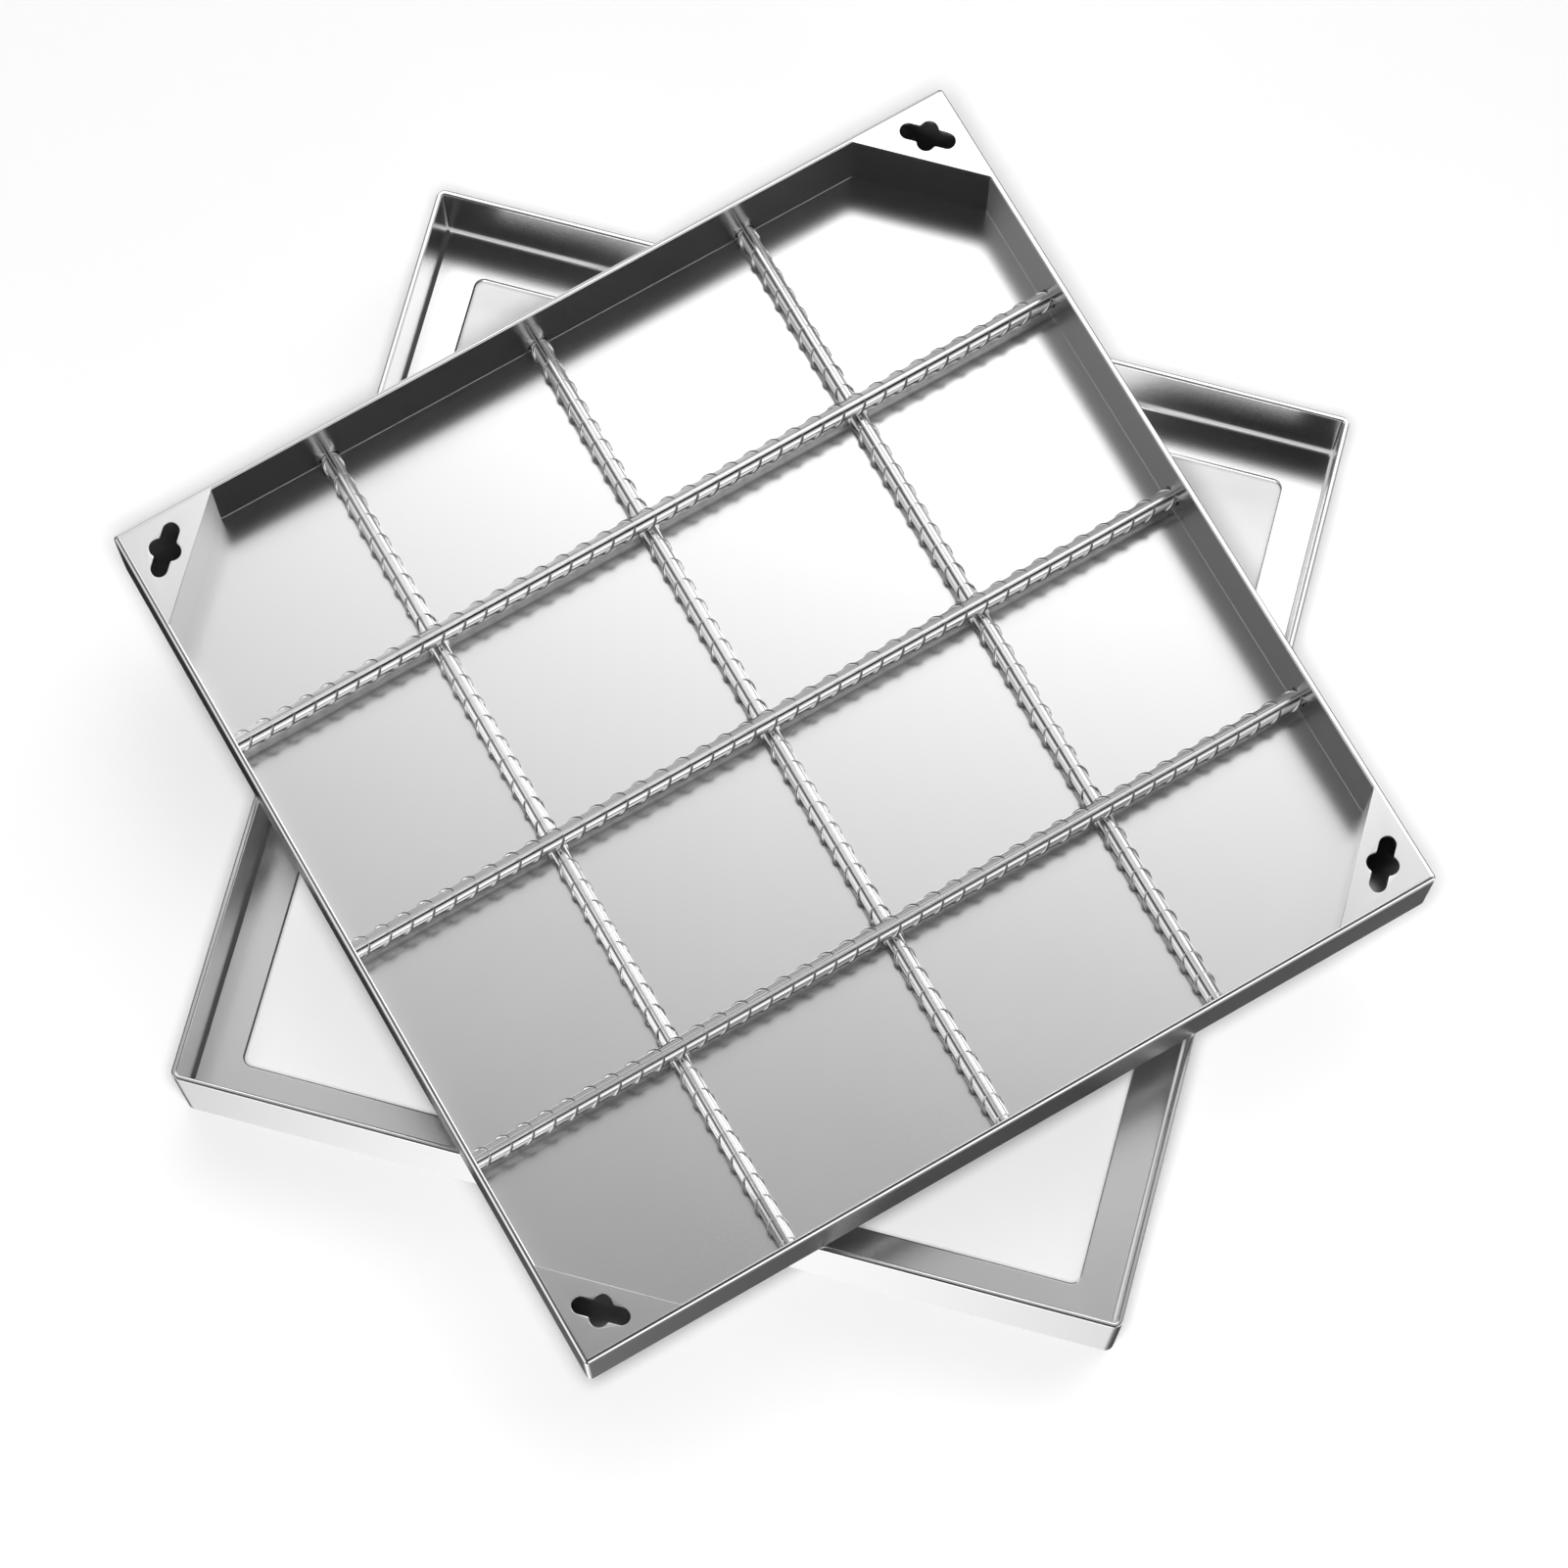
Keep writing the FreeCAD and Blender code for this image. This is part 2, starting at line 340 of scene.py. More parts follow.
def seamless_paper():
    """Matt white studio paper: even, with a faint tooth."""
    tooth_size = 0.004
    tooth_depth = 0.0001
    tooth_strength = 0.05
    material = bpy.data.materials.new("matt_studio_paper")
    material.use_nodes = True
    tree = material.node_tree
    shader = tree.nodes["Principled BSDF"]
    shader.inputs["Base Color"].default_value = (*bpy.context.scene.paving_cover.stage.floor, 1.0)
    shader.inputs["Roughness"].default_value = 0.9
    shader.inputs["Specular IOR Level"].default_value = 0.1
    place = add_node(tree, "ShaderNodeTexCoord").outputs["Object"]
    tooth = add_node(tree, "ShaderNodeTexNoise", {"Vector": place, "Scale": 1 / tooth_size})
    relief = add_node(tree, "ShaderNodeBump", {
        "Height": tooth, "Strength": tooth_strength, "Distance": tooth_depth})
    tree.links.new(relief.outputs[0], shader.inputs["Normal"])
    return material


def shared_material(make, *details):
    """One material of each kind, made when it is first wanted."""
    name = "_".join((make.__name__, *details))
    if name not in shared_material.made:
        shared_material.made[name] = make(*details)
    return shared_material.made[name]


shared_material.made = {}


def dress(mesh_object, slot, *nodes):
    """Puts a finished piece on its body, in place of the solids that it stands for."""
    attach(mesh_object, BODY)
    if nodes:
        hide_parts(*nodes)
    return mesh_object


def mesh_piece(name, bm, *materials):
    """Turns a bmesh into a scene object at the origin, shaded smooth between its sharp edges."""
    sharp = math.radians(32)
    mesh = bpy.data.meshes.new(name)
    bm.to_mesh(mesh)
    bm.free()
    mesh.shade_smooth()
    mesh.set_sharp_from_angle(angle=sharp)
    for material in materials:
        mesh.materials.append(material)
    piece = bpy.data.objects.new(name, mesh)
    bpy.context.scene.collection.objects.link(piece)
    return piece


def plain_mesh(holder):
    """Mesh of an object as its modifiers or its curve leave it."""
    evaluated = holder.evaluated_get(bpy.context.evaluated_depsgraph_get())
    return bpy.data.meshes.new_from_object(evaluated)


def settle(piece):
    """Turns a piece's modifiers into a plain mesh."""
    mesh = plain_mesh(piece)
    piece.modifiers.clear()
    piece.data = mesh
    return piece


def weigh_normals(piece):
    """Keeps large flats flat beside small roundings."""
    modifier = piece.modifiers.new("Flat faces first", "WEIGHTED_NORMAL")
    modifier.keep_sharp = True
    modifier.weight = 100
    return settle(piece)


def rounding(radius, steps):
    """How far a rounded edge has left each of its two faces, at steps through its quarter turn."""
    angles = [i / steps * QUARTER for i in range(steps + 1)]
    return [(radius * (1 - math.cos(angle)), radius * (1 - math.sin(angle))) for angle in angles]


def square_ring(half, radius, z, steps):
    """Points round a square of that half side with rounded corners, at one height."""
    points = []
    corner = half - radius
    for quarter in range(4):
        turn = Matrix.Rotation(quarter * QUARTER, 3, "Z")
        for step in range(steps + 1):
            angle = step / steps * QUARTER
            point = (corner + radius * math.cos(angle), corner + radius * math.sin(angle), z)
            points.append(turn @ Vector(point))
    return points


def skin(rings, closed):
    """Faces between rings of as many points each: end to end if closed, else capped at both ends."""
    bm = bmesh.new()
    loops = [[bm.verts.new(point) for point in ring] for ring in rings]
    count = len(loops[0])
    pairs = list(zip(loops, loops[1:] + loops[:1])) if closed else list(zip(loops, loops[1:]))
    for lower, upper in pairs:
        for i in range(count):
            j = (i + 1) % count
            bm.faces.new((lower[i], lower[j], upper[j], upper[i]))
    if not closed:
        bm.faces.new(reversed(loops[0]))
        bm.faces.new(loops[-1])
    bmesh.ops.remove_doubles(bm, verts=bm.verts, dist=ONE_POINT)
    bmesh.ops.dissolve_degenerate(bm, edges=bm.edges, dist=ONE_POINT)
    bmesh.ops.recalc_face_normals(bm, faces=bm.faces)
    return bm


def unfold(bm, centre, edge, low):
    """UV map of the flat blank that the tray is folded from, in metres: the walls lie out round the floor."""
    layer = bm.loops.layers.uv.new("blank")
    for face in bm.faces:
        normal = face.normal
        for loop in face.loops:
            x, y, z = loop.vert.co - centre
            rise = loop.vert.co.z - low
            if abs(normal.x) > abs(normal.z) and abs(normal.x) >= abs(normal.y):
                x = math.copysign(edge + rise, x)
            elif abs(normal.y) > abs(normal.z):
                y = math.copysign(edge + rise, y)
            loop[layer].uv = (x, y)


def wrap(bm, turn):
    """UV map of a strip bent into a square, in metres: U runs round it, and V up or across it."""
    layer = bm.loops.layers.uv.new("blank")
    back = Matrix.Rotation(-turn, 3, "Z")
    for face in bm.faces:
        middle = back @ face.calc_center_median()
        side = round(math.atan2(middle.y, middle.x) / QUARTER)
        unturn = Matrix.Rotation(-side * QUARTER, 3, "Z") @ back
        for loop in face.loops:
            x, y, z = unturn @ loop.vert.co
            loop[layer].uv = (y + side, z - x)


def arc(centre, radius, start, end, steps):
    """Points along an arc in the plane, both ends included."""
    return [Vector((centre[0] + radius * math.cos(start + (end - start) * step / steps),
                    centre[1] + radius * math.sin(start + (end - start) * step / steps)))
            for step in range(steps + 1)]


def slot_outline(plate, steps):
    """Outline of the cross-shaped slot about its centre, its long arm along X."""
    end_radius = plate.slot_width / 2
    end_at = plate.slot_length / 2 - end_radius
    cross_radius = plate.cross_width / 2
    cross_at = plate.cross_length / 2 - cross_radius
    blend_y = end_radius + plate.blend
    reach = cross_radius + plate.blend
    blend_x = math.sqrt(reach ** 2 - (blend_y - cross_at) ** 2)
    towards = math.atan2(blend_y - cross_at, blend_x)
    quarter = (arc((end_at, 0), end_radius, 0, QUARTER, steps)
               + arc((blend_x, blend_y), plate.blend, -QUARTER, towards - math.pi, steps // 2)
               + arc((0, cross_at), cross_radius, towards, QUARTER, steps))
    half = quarter + [Vector((-p.x, p.y)) for p in reversed(quarter)][1:]
    return half + [Vector((p.x, -p.y)) for p in reversed(half)][1:-1]


def bar_section(bar, reach, steps):
    """Outline of a bar's section: round, with a seam rib at the top and another at the bottom."""
    core = bar.core / 2
    foot = bar.seam_width / 2 + bar.seam_flank
    brow = bar.seam_width / 2 - bar.seam_flank
    flank_steps = 6
    start = math.asin(foot / core)
    side = [(core * math.sin(a), core * math.cos(a))
            for a in [start + (math.pi - 2 * start) * i / steps for i in range(steps + 1)]]
    flank = []
    for i in range(flank_steps):
        share = i / flank_steps
        across = brow + (foot - brow) * share
        ease = share * share * (3 - 2 * share)
        round_height = math.sqrt(core ** 2 - across ** 2)
        flank.append((across, reach + (round_height - reach) * ease))
    right = flank + side + [(u, -v) for u, v in reversed(flank)]
    return right + [(-u, v) for u, v in reversed(right)]


def herringbone_tree():
    """Geometry Nodes that add pairs of crescent ribs along a bar that lies on X.

    A rib has its full height over most of its length, and its width falls from the middle to the tips.
    Painted shade lies on the crest and one side of each rib's upper half, to draw its outline.
    """
    rib_sides = 10
    rib_steps = 14
    fullness = 0.6          # power of the swell from a rib's tip to its middle: less is fuller
    least_swell = 0.1
    tip_share, swell_share = 0.15, 0.35     # of the width: at the tip, and added at the middle
    scale_from = -0.1       # across the rib, in shares of its half width
    scale_until = 0.55      # along the rib, from its upper tip
    underside_slope = -2.0  # painted shade is full from half of the core's radius below the axis
    tree = bpy.data.node_groups.new("Herringbone ribs", "GeometryNodeTree")
    sockets = (("Geometry", "NodeSocketGeometry"), ("Start", "NodeSocketFloat"), ("End", "NodeSocketFloat"),
               ("Phase", "NodeSocketFloat"), ("Core radius", "NodeSocketFloat"), ("Pitch", "NodeSocketFloat"),
               ("Height", "NodeSocketFloat"), ("Width", "NodeSocketFloat"), ("Fall", "NodeSocketFloat"),
               ("Gap", "NodeSocketFloat"), ("Material", "NodeSocketMaterial"),
               ("Lee material", "NodeSocketMaterial"))
    for name, kind in sockets:
        tree.interface.new_socket(name, in_out="INPUT", socket_type=kind)
    tree.interface.new_socket("Geometry", in_out="OUTPUT", socket_type="NodeSocketGeometry")
    given = add_node(tree, "NodeGroupInput").outputs
    core, pitch, fall = given["Core radius"], given["Pitch"], given["Fall"]
    # Where a point is: each stage below reads this afresh for its own points
    position = add_node(tree, "GeometryNodeInputPosition")
    x, y, z = add_node(tree, "ShaderNodeSeparateXYZ", {0: position}).outputs

    # One rib, bent from a straight rod on Z whose length runs from 0 to 1 round the bar
    rod = add_node(tree, "GeometryNodeMeshCylinder", {
        "Vertices": rib_sides, "Side Segments": rib_steps, "Radius": 1.0, "Depth": 1.0}, fill_type="NGON")
    share = add_node(tree, MATHS, {0: z, 1: 0.5}, operation="ADD")
    half_turn = add_node(tree, MATHS, {0: share, 1: math.pi}, operation="MULTIPLY")
    hump = add_node(tree, MATHS, {0: half_turn}, operation="SINE")
    full_hump = add_node(tree, MATHS, {0: hump, 1: fullness}, operation="POWER")
    swell = add_node(tree, MATHS, {0: full_hump, 1: least_swell}, operation="MAXIMUM")
    sweep = add_node(tree, MATHS, {0: math.pi, 1: given["Gap"]}, operation="SUBTRACT")
    half_gap = add_node(tree, MATHS, {0: given["Gap"], 1: 0.5}, operation="MULTIPLY")
    angle = add_node(tree, MATHS, {0: share, 1: sweep, 2: half_gap}, operation="MULTIPLY_ADD")
    round_bar = add_node(tree, MATHS, {0: angle}, operation="SINE")
    down_bar = add_node(tree, MATHS, {0: angle}, operation="COSINE")
    swollen = add_node(tree, MATHS, {0: y, 1: swell}, operation="MULTIPLY")
    lift = add_node(tree, MATHS, {0: swollen, 1: given["Height"]}, operation="MULTIPLY")
    radius = add_node(tree, MATHS, {0: core, 1: lift}, operation="ADD")

    # Each rib lies in a slanting plane, so that it falls back from the top seam to the bottom one
    drop = add_node(tree, MATHS, {0: 1.0, 1: down_bar}, operation="SUBTRACT")
    back = add_node(tree, MATHS, {0: drop, 1: fall}, operation="MULTIPLY")
    lean = add_node(tree, MATHS, {0: round_bar, 1: fall}, operation="MULTIPLY")
    slant = add_node(tree, MATHS, {0: lean, 1: core}, operation="DIVIDE")
    stretch_squared = add_node(tree, MATHS, {0: slant, 1: slant, 2: 1.0}, operation="MULTIPLY_ADD")
    stretch = add_node(tree, MATHS, {0: stretch_squared}, operation="SQRT")
    half_share = add_node(tree, MATHS, {0: swell, 1: swell_share, 2: tip_share}, operation="MULTIPLY_ADD")
    square_width = add_node(tree, MATHS, {0: given["Width"], 1: half_share}, operation="MULTIPLY")
    half_width = add_node(tree, MATHS, {0: square_width, 1: stretch}, operation="MULTIPLY")
    aside = add_node(tree, MATHS, {0: x, 1: half_width}, operation="MULTIPLY")
    axial = add_node(tree, MATHS, {0: aside, 1: back}, operation="SUBTRACT")
    sideways = add_node(tree, MATHS, {0: radius, 1: round_bar}, operation="MULTIPLY")
    upwards = add_node(tree, MATHS, {0: radius, 1: down_bar}, operation="MULTIPLY")
    bent = add_node(tree, "ShaderNodeCombineXYZ", {0: axial, 1: sideways, 2: upwards})
    # Faces that get the painted shade of the rib's outline
    on_crest = add_node(tree, MATHS, {0: x, 1: scale_from}, operation="GREATER_THAN")
    on_top = add_node(tree, MATHS, {0: share, 1: scale_until}, operation="LESS_THAN")
    lee = add_node(tree, MATHS, {0: on_crest, 1: on_top}, operation="MULTIPLY")
    marked = add_node(tree, "GeometryNodeCaptureAttribute", {"Geometry": rod}, domain="FACE")
    marked.capture_items.new("BOOLEAN", "Lee")
    tree.links.new(lee.outputs[0], marked.inputs["Lee"])
    rib = add_node(tree, "GeometryNodeSetPosition", {"Geometry": marked, "Position": bent})
    mirrored = add_node(tree, "GeometryNodeTransform", {"Geometry": rib, "Scale": (1.0, -1.0, 1.0)})
    turned_out = add_node(tree, "GeometryNodeFlipFaces", {0: rib})
    pair = add_node(tree, "GeometryNodeJoinGeometry", {0: turned_out})
    tree.links.new(mirrored.outputs[0], pair.inputs[0])

    # Pairs at every pitch, from before the start to past the end: two more than the whole pitches
    first = add_node(tree, MATHS, {0: given["Start"], 1: pitch}, operation="SNAP")
    run = add_node(tree, MATHS, {0: given["End"], 1: first}, operation="SUBTRACT")
    pitches = add_node(tree, MATHS, {0: run, 1: pitch}, operation="DIVIDE")
    whole_pitches = add_node(tree, MATHS, {0: pitches}, operation="FLOOR")
    count = add_node(tree, MATHS, {0: whole_pitches, 1: 2.0}, operation="ADD")
    first_pair = add_node(tree, MATHS, {0: first, 1: given["Phase"]}, operation="ADD")
    line = add_node(tree, "GeometryNodeMeshLine", {
        "Count": count, "Start Location": add_node(tree, "ShaderNodeCombineXYZ", {0: first_pair}),
        "Offset": add_node(tree, "ShaderNodeCombineXYZ", {0: pitch})})
    placed = add_node(tree, "GeometryNodeInstanceOnPoints", {"Points": line, "Instance": pair})
    real = add_node(tree, "GeometryNodeRealizeInstances", {0: placed})

    # Ribs are cut off with the bar's ends
    not_before = add_node(tree, MATHS, {0: x, 1: given["Start"]}, operation="MAXIMUM")
    within = add_node(tree, MATHS, {0: not_before, 1: given["End"]}, operation="MINIMUM")
    trimmed = add_node(tree, "GeometryNodeSetPosition", {
        "Geometry": real, "Position": add_node(tree, "ShaderNodeCombineXYZ", {0: within, 1: y, 2: z})})
    whole = add_node(tree, "GeometryNodeJoinGeometry", {0: given["Geometry"]})
    tree.links.new(trimmed.outputs[0], whole.inputs[0])
    plain = add_node(tree, "GeometryNodeSetMaterial", {"Geometry": whole, "Material": given["Material"]})
    sided = add_node(tree, "GeometryNodeSetMaterial", {
        "Geometry": plain, "Selection": marked.outputs["Lee"], "Material": given["Lee material"]})

    # The share of painted shade on the bar's underside at each point, from 0 to 1, for the bar's material
    height = add_node(tree, MATHS, {0: z, 1: core}, operation="DIVIDE")
    depth = add_node(tree, MATHS, {0: height, 1: underside_slope}, operation="MULTIPLY", use_clamp=True)
    finished = add_node(tree, "GeometryNodeStoreNamedAttribute", {
        "Geometry": sided, "Name": "underside", "Value": depth}, data_type="FLOAT", domain="POINT")
    add_node(tree, "NodeGroupOutput", {0: finished})
    return tree


def ribbed_bar(level, side, tree, low, high, along_y, phase):
    """One ribbed bar between two corners of its solid's box."""
    bar = bpy.context.scene.paving_cover.bar
    middle = (low + high) / 2
    reach = (high.z - low.z) / 2
    start, end = (low.y, high.y) if along_y else (low.x, high.x)
    section = bar_section(bar, reach, bar.core_steps)
    bm = skin([[Vector((x, u, v)) for u, v in section] for x in (start, end)], closed=False)
    piece = mesh_piece("_".join(("ribbed", level, side)), bm)
    modifier = piece.modifiers.new("Herringbone ribs", "NODES")
    modifier.node_group = tree
    # The rib outlines take their level's painted shade
    values = {"Start": start, "End": end, "Phase": phase, "Core radius": bar.core / 2,
              "Pitch": bar.rib_pitch, "Height": bar.rib_height, "Width": bar.rib_width,
              "Fall": bar.rib_fall, "Gap": bar.rib_gap, "Material": shared_material(rolled_bar),
              "Lee material": shared_material(mill_scale, level)}
    for item in tree.interface.items_tree:
        if item.in_out == "INPUT" and item.name in values:
            modifier[item.identifier] = values[item.name]
    settle(piece)
    if along_y:
        place = Matrix.Translation((middle.x, 0, middle.z)) @ Matrix.Rotation(QUARTER, 4, "Z")
    else:
        place = Matrix.Translation((0, middle.y, middle.z))
    piece.data.transform(place)
    return piece


class PAVINGCOVER_OT_tray(bpy.types.Operator):
    """Fold the cover tray"""
    bl_idname = "paving_cover.tray"
    bl_label = "Cover tray"

    def execute(self, context):
        sheet = context.scene.paving_cover.sheet
        half = TRAY_SIDE / 2
        steps = sheet.bend_steps
        inner = half - sheet.tray_sheet
        floor = TRAY_LOW.z + sheet.tray_sheet
        edge, bend = sheet.tray_edge, sheet.tray_bend
        # Up the outside, over the rim, and down the inside to the floor
        rings = [square_ring(half - inset, edge - inset, TRAY_LOW.z + rise, steps)
                 for rise, inset in rounding(edge, steps)]
        rings += [square_ring(half - inset, edge - inset, TRAY_HIGH.z - fall, steps)
                  for inset, fall in rounding(edge, steps)]
        rings += [square_ring(inner + inset, bend + inset, TRAY_HIGH.z - fall, steps)
                  for inset, fall in reversed(rounding(sheet.tray_lip, steps))]
        rings += [square_ring(inner - inset, bend - inset, floor + rise, steps)
                  for inset, rise in rounding(bend, steps)]
        bm = skin(rings, closed=False)
        centre = Vector((TRAY_CENTRE.x, TRAY_CENTRE.y, 0))
        bmesh.ops.translate(bm, verts=bm.verts, vec=centre)
        unfold(bm, centre, half, TRAY_LOW.z)
        tray = mesh_piece("folded_tray", bm, shared_material(satin_sheet, "tray_sheet", "UV"))
        dress(weigh_normals(tray), SHEET_SLOT, "cover_tray")
        return {"FINISHED"}


class PAVINGCOVER_OT_key_plates(bpy.types.Operator):
    """Cut the four key plates with their cross-shaped slots"""
    bl_idname = "paving_cover.key_plates"
    bl_label = "Key plates"

    def execute(self, context):
        settings = context.scene.paving_cover
        plate, sheet = settings.key_plate, settings.sheet
        slot_steps = 16
        joined = 1e-6       # the curve's fill and its bevel meet within this
        corner = Vector((TRAY_SIDE / 2, TRAY_SIDE / 2))
        # Welded tight and ground flush: each plate runs on over the rim's lip, so no joint shows
        near = TRAY_SIDE / 2 - sheet.tray_edge
        cut = PLATE_LOW.x + PLATE_HIGH.x - 2 * TRAY_CENTRE.x - near
        tip_centre = near - sheet.tray_bend
        tip = arc((tip_centre, tip_centre), sheet.tray_bend, 0, QUARTER, sheet.bend_steps)
        outline = [Vector((near, cut))] + tip + [Vector((cut, near))]
        slot_centre = corner - Vector((plate.from_corner, plate.from_corner)) * DIAGONAL
        turn = Matrix.Rotation(-QUARTER / 2, 2)
        slot = [turn @ p + slot_centre for p in slot_outline(plate, slot_steps)]
        for quarter, corner_name in enumerate(CORNERS):
            mesh = self.cut_plate(outline, slot, PLATE_HIGH.z - PLATE_LOW.z, sheet.edge_break)
            place = Matrix.Translation((TRAY_CENTRE.x, TRAY_CENTRE.y, (PLATE_LOW.z + PLATE_HIGH.z) / 2))
            mesh.transform(place @ Matrix.Rotation(quarter * QUARTER, 4, "Z"))
            bm = bmesh.new()
            bm.from_mesh(mesh)
            bmesh.ops.remove_doubles(bm, verts=bm.verts, dist=joined)
            bmesh.ops.recalc_face_normals(bm, faces=bm.faces)
            piece = mesh_piece("key_plate_" + corner_name, bm,
                               shared_material(satin_sheet, "key_plate_sheet", "Object"))
            dress(weigh_normals(piece), SHEET_SLOT, "corner_plate_" + corner_name)
        return {"FINISHED"}

    def cut_plate(self, outline, slot, thickness, edge_break):
        """Flat plate with a hole and broken edges, about the middle of its thickness."""
        curve = bpy.data.curves.new("key plate outline", "CURVE")
        curve.dimensions = "2D"
        curve.fill_mode = "BOTH"
        curve.extrude = thickness / 2 - edge_break
        curve.bevel_depth = edge_break
        curve.bevel_resolution = 2
        curve.offset = -edge_break
        for points in (outline, slot):
            spline = curve.splines.new("POLY")
            spline.points.add(len(points) - 1)
            for target, point in zip(spline.points, points):
                target.co = (point.x, point.y, 0, 1)
            spline.use_cyclic_u = True
        holder = bpy.data.objects.new("key plate outline", curve)
        bpy.context.scene.collection.objects.link(holder)
        mesh = plain_mesh(holder)
        bpy.data.objects.remove(holder)
        return mesh


class PAVINGCOVER_OT_webs(bpy.types.Operator):
    """Finish the upright webs under the key plates"""
    bl_idname = "paving_cover.webs"
    bl_label = "Corner webs"

    def execute(self, context):
        for corner_name in CORNERS:
            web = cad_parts["corner_web_" + corner_name]
            web.data.materials.clear()
            web.data.materials.append(shared_material(satin_sheet, "web_sheet", "Object"))
        return {"FINISHED"}


class PAVINGCOVER_OT_bars(bpy.types.Operator):
    """Roll the ribbed bars and lay them in the tray"""
    bl_idname = "paving_cover.bars"
    bl_label = "Ribbed bars"

    def execute(self, context):
        bar = context.scene.paving_cover.bar
        tree = herringbone_tree()
        for names, level, along_y, phase in ((LOWER_BARS, "lower", True, bar.lower_phase),
                                             (UPPER_BARS, "upper", False, bar.upper_phase)):
            for name in names:
                node = level + "_bar_" + name
                low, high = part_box(node)
                piece = ribbed_bar(level, name, tree, low, high, along_y, phase)
                dress(piece, BAR_SLOT, node)
        return {"FINISHED"}


def frame_sizes(sheet):
    """Half of the frame's side outside and inside its wall, and the outside radius of its corners."""
    bend_out = sheet.frame_bend + sheet.frame_sheet
    half = (WALL_HIGH.x - bend_out) * DIAGONAL + bend_out
    return half, half - sheet.frame_sheet, bend_out


def turn_cornerwise(bm):
    """Turns a piece of the frame to lie cornerwise under the tray, and unwraps it."""
    turn = QUARTER / 2
    bmesh.ops.rotate(bm, verts=bm.verts, matrix=Matrix.Rotation(turn, 3, "Z"))
    wrap(bm, turn)
    return turn


class PAVINGCOVER_OT_frame_wall(bpy.types.Operator):
    """Bend the frame's wall"""
    bl_idname = "paving_cover.frame_wall"
    bl_label = "Frame wall"

    def execute(self, context):
        sheet = context.scene.paving_cover.sheet
        steps = sheet.bend_steps
        half, inner, bend_out = frame_sizes(sheet)
        rim = rounding(sheet.rim_round, steps)
        rings = [square_ring(half, bend_out, WALL_LOW.z, steps)]
        rings += [square_ring(half - inset, bend_out - inset, WALL_HIGH.z - fall, steps)
                  for inset, fall in rim]
        rings += [square_ring(inner + inset, sheet.frame_bend + inset, WALL_HIGH.z - fall, steps)
                  for fall, inset in rim]
        rings.append(square_ring(inner, sheet.frame_bend, WALL_LOW.z, steps))
        bm = skin(rings, closed=True)
        turn_cornerwise(bm)
        piece = mesh_piece("bent_frame_wall", bm, shared_material(satin_sheet, "frame_sheet", "UV"))
        dress(weigh_normals(piece), SHEET_SLOT, "frame_wall")
        return {"FINISHED"}


class PAVINGCOVER_OT_ledge(bpy.types.Operator):
    """Weld the ledge into the frame"""
    bl_idname = "paving_cover.ledge"
    bl_label = "Support ledge"

    def execute(self, context):
        sheet = context.scene.paving_cover.sheet
        steps = sheet.bend_steps
        inner = frame_sizes(sheet)[1]
        opening = inner - sheet.ledge_width
        top = LEDGE_LOW.z + sheet.ledge_sheet
        bead = LEDGE_HIGH.z - top
        # Section of the bead, out from the wall and up from the ledge, in shares of its leg
        crown = ((0.68, 0.87), (0.34, 0.93), (0.0, 1.0))
        bead_section = ((1.0, 0.0), (0.98, 0.35), (0.92, 0.62), (0.82, 0.78)) + crown
        rings = [square_ring(opening, sheet.ledge_corner, LEDGE_LOW.z, steps)]
        rings += [square_ring(opening + inset, sheet.ledge_corner + inset, top - fall, steps)
                  for inset, fall in rounding(sheet.ledge_edge, steps)]
        rings += [square_ring(inner - bead * out, sheet.frame_bend, top + bead * rise, steps)
                  for out, rise in bead_section]
        rings.append(square_ring(inner, sheet.frame_bend, LEDGE_LOW.z, steps))
        bm = skin(rings, closed=True)
        turn = turn_cornerwise(bm)
        # Painted shade darkens the left bead and the cut edges at the left and the front
        self.tint(bm, Matrix.Rotation(-turn, 3, "Z"), top + bead * crown[0][1])
        # Painted light: the ledge's sheet takes its own lighter colour
        piece = mesh_piece("welded_ledge", bm, shared_material(satin_sheet, "ledge_sheet", "UV", "ledge"),
                           shared_material(weld_bead), shared_material(heat_tint))
        dress(weigh_normals(piece), SHEET_SLOT, "support_ledge")
        return {"FINISHED"}

    def tint(self, bm, unturned, crown_foot):
        """Paints shade on the bead's crown at the left, and on the opening's cut edge at the left and the
        front.
        """
        blasted, tinted = 1, 2
        left, front = 1, 2      # the walls, counted round from the back one
        flattest, steepest = 0.99, 0.1
        for face in bm.faces:
            middle = unturned @ face.calc_center_median()
            wall = round(math.atan2(middle.y, middle.x) / QUARTER) % 4
            if middle.z > crown_foot:
                face.material_index = tinted if wall == left else blasted
            elif wall in (left, front) and steepest < face.normal.z < flattest:
                face.material_index = tinted


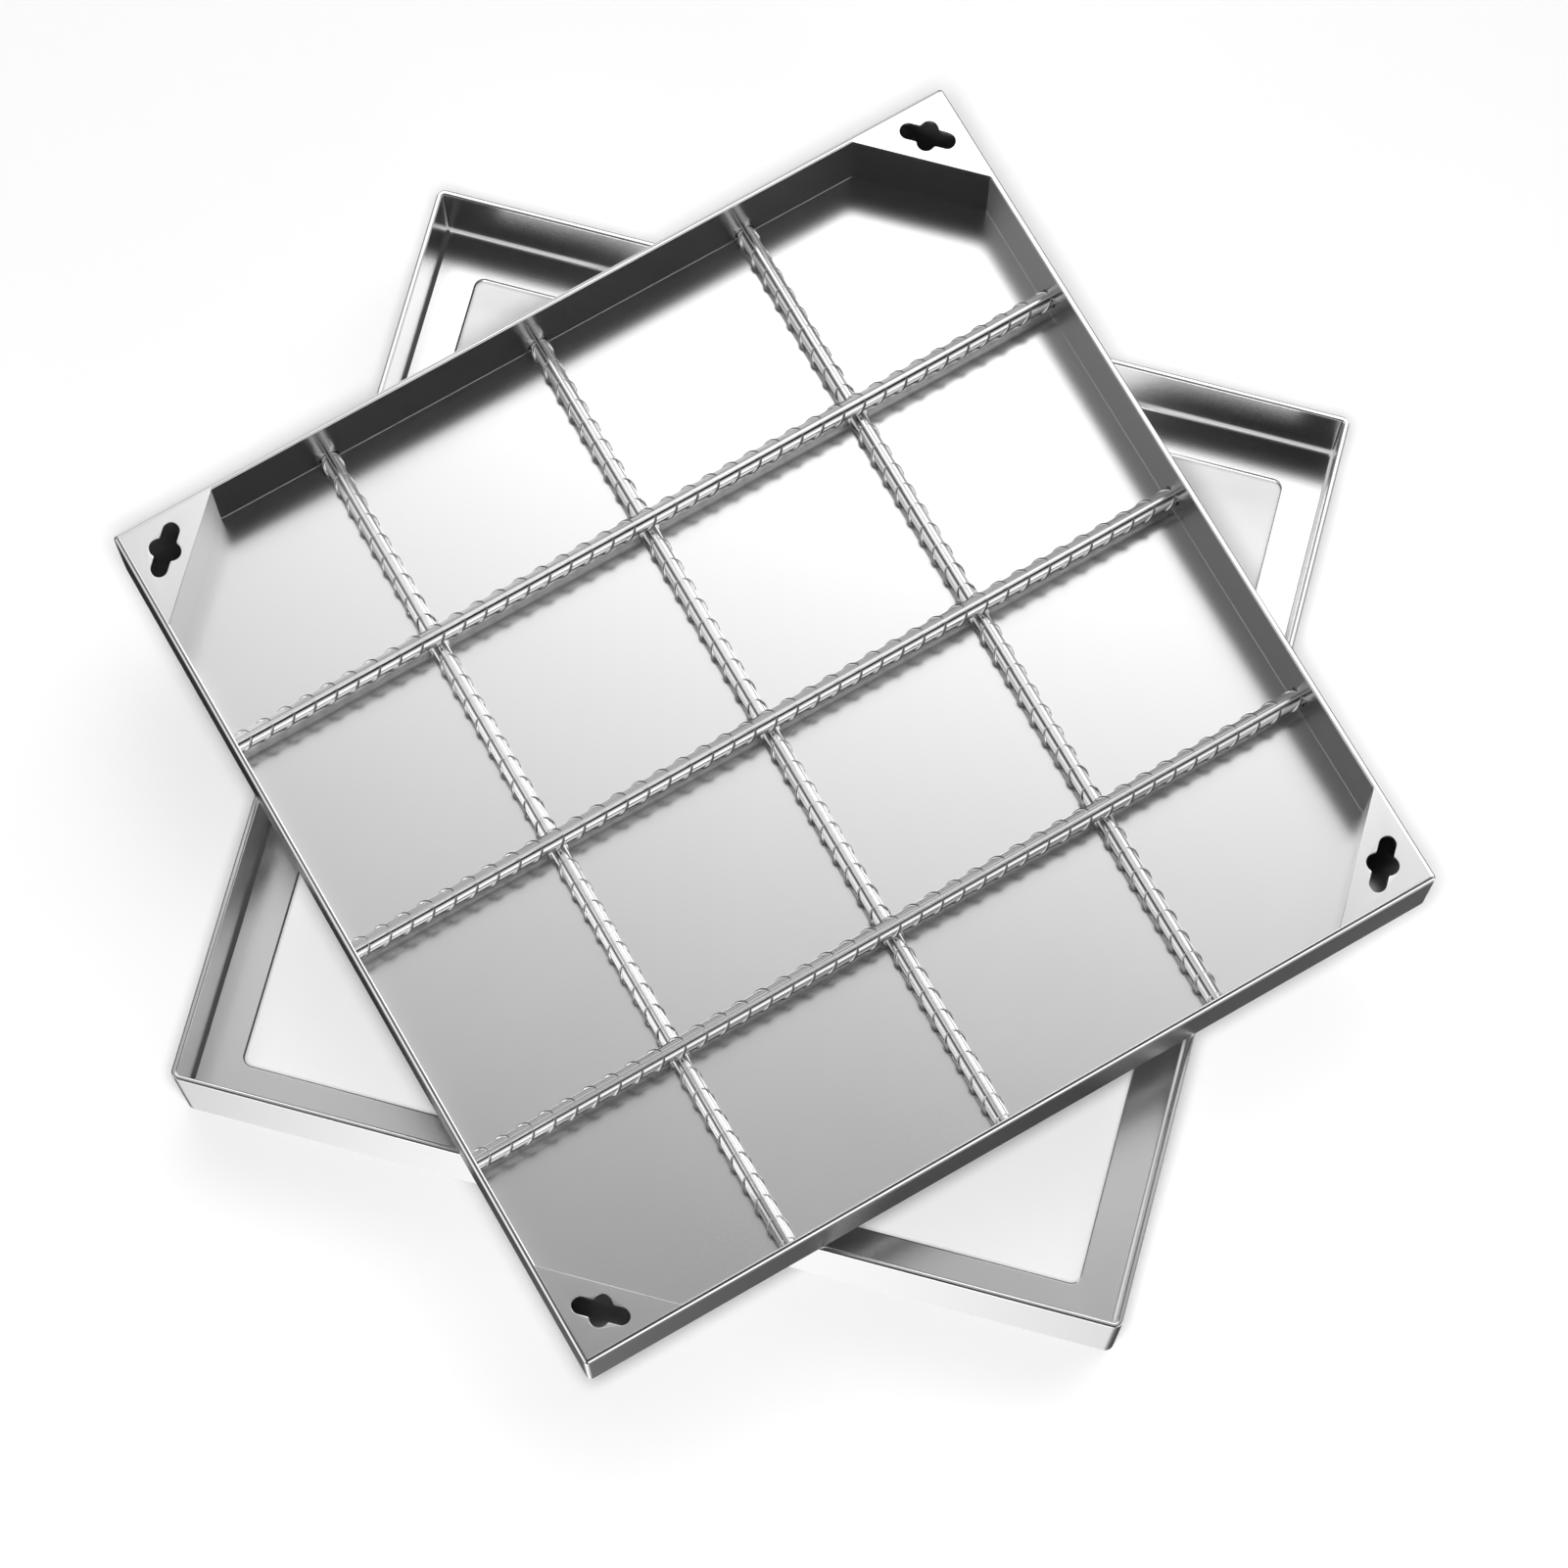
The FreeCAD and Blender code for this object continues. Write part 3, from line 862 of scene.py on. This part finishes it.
def studio_world(stage):
    """Soft round panels all about the object, on a dark studio, as the steel reflects them."""
    world = bpy.data.worlds.new("Studio")
    world.use_nodes = True
    tree = world.node_tree
    tree.nodes.clear()
    generated = add_node(tree, "ShaderNodeTexCoord").outputs["Generated"]
    direction = add_node(tree, "ShaderNodeVectorMath", {0: generated}, operation="NORMALIZE")
    total = stage.studio_base
    for azimuth, tilt, spread, radiance in STUDIO_PANELS.values():
        azimuth, tilt, spread = (math.radians(angle) for angle in (azimuth, tilt, spread))
        centre = (math.sin(tilt) * math.cos(azimuth), math.sin(tilt) * math.sin(azimuth), math.cos(tilt))
        towards = add_node(tree, "ShaderNodeVectorMath", {0: direction, 1: centre}, operation="DOT_PRODUCT")
        fade = add_node(tree, MATHS, {0: towards.outputs["Value"], 1: spread ** -2, 2: -spread ** -2},
                        operation="MULTIPLY_ADD")
        glow = add_node(tree, MATHS, {0: fade}, operation="EXPONENT")
        total = add_node(tree, MATHS, {0: glow, 1: radiance, 2: total}, operation="MULTIPLY_ADD")
    strength = add_node(tree, MATHS, {0: total, 1: stage.studio_light}, operation="MULTIPLY")
    light = add_node(tree, "ShaderNodeBackground", {"Color": (1.0, 1.0, 1.0, 1.0), "Strength": strength})
    add_node(tree, "ShaderNodeOutputWorld", {0: light})
    return world


class PAVINGCOVER_OT_stage(bpy.types.Operator):
    """Set the floor, the studio light and the camera"""
    bl_idname = "paving_cover.stage"
    bl_label = "Stage"

    def execute(self, context):
        stage = context.scene.paving_cover.stage
        bm = bmesh.new()
        bmesh.ops.create_grid(bm, x_segments=1, y_segments=1, size=stage.floor_side / 2)
        floor = mesh_piece("studio_floor", bm, shared_material(seamless_paper))
        floor.visible_glossy = False
        floor.visible_shadow = False
        context.scene.world = studio_world(stage)
        self.hang_lamp(context, stage)
        self.camera(context, stage)
        context.scene.view_settings.view_transform = "Standard"
        return {"FINISHED"}

    def hang_lamp(self, context, stage):
        """Large lamp overhead that whitens the floor and stays out of the steel's reflections."""
        lamp = bpy.data.lights.new("floor_fill", "AREA")
        lamp.shape = "DISK"
        lamp.size = stage.lamp_width
        lamp.energy = stage.floor_lamp
        holder = bpy.data.objects.new("floor_fill", lamp)
        holder.location = stage.lamp_place
        holder.rotation_euler = (-holder.location).to_track_quat("-Z", "Y").to_euler()
        holder.visible_glossy = False
        context.scene.collection.objects.link(holder)

    def camera(self, context, stage):
        """Camera at the photograph's place, looking down on the cover."""
        lens = bpy.data.cameras.new("photograph")
        lens.sensor_width = 36.0
        lens.lens = stage.camera_lens
        lens.clip_end = 50.0
        camera = bpy.data.objects.new("photograph", lens)
        ahead = Vector(stage.camera_ahead).normalized()
        right = ahead.cross(Vector((0, 0, 1))).normalized()
        above = right.cross(ahead)
        upright = Matrix((right, above, -ahead)).transposed()
        turned = upright @ Matrix.Rotation(stage.camera_roll, 3, "Z")
        camera.matrix_world = Matrix.Translation(Vector(stage.camera_place)) @ turned.to_4x4()
        context.scene.collection.objects.link(camera)
        context.scene.camera = camera


OPERATORS = (PAVINGCOVER_OT_tray, PAVINGCOVER_OT_key_plates, PAVINGCOVER_OT_webs, PAVINGCOVER_OT_bars,
             PAVINGCOVER_OT_frame_wall, PAVINGCOVER_OT_ledge, PAVINGCOVER_OT_stage)


class PAVINGCOVER_PT_panel(bpy.types.Panel):
    """Buttons for the pieces, and the sizes that they follow"""
    bl_idname = "PAVINGCOVER_PT_panel"
    bl_label = "Paving cover"
    bl_space_type = "VIEW_3D"
    bl_region_type = "UI"
    bl_category = "Paving cover"

    def draw(self, context):
        for operator in OPERATORS:
            self.layout.operator(operator.bl_idname)
        settings = context.scene.paving_cover
        for group in (settings.sheet, settings.key_plate, settings.bar, settings.finish, settings.stage):
            box = self.layout.box()
            for name in group.bl_rna.properties.keys():
                if name not in ("rna_type", "name"):
                    box.prop(group, name)


CLASSES = (PAVINGCOVER_PG_sheet, PAVINGCOVER_PG_key_plate, PAVINGCOVER_PG_bar, PAVINGCOVER_PG_finish,
           PAVINGCOVER_PG_stage, PAVINGCOVER_PG_settings, *OPERATORS, PAVINGCOVER_PT_panel)


def register():
    for cls in CLASSES:
        bpy.utils.register_class(cls)
    bpy.types.Scene.paving_cover = PointerProperty(type=PAVINGCOVER_PG_settings)


def unregister():
    del bpy.types.Scene.paving_cover
    for cls in reversed(CLASSES):
        bpy.utils.unregister_class(cls)


def main():
    register()
    bpy.ops.paving_cover.tray()
    bpy.ops.paving_cover.key_plates()
    bpy.ops.paving_cover.webs()
    bpy.ops.paving_cover.bars()
    bpy.ops.paving_cover.frame_wall()
    bpy.ops.paving_cover.ledge()
    bpy.ops.paving_cover.stage()


if __name__ == "__main__":
    main()
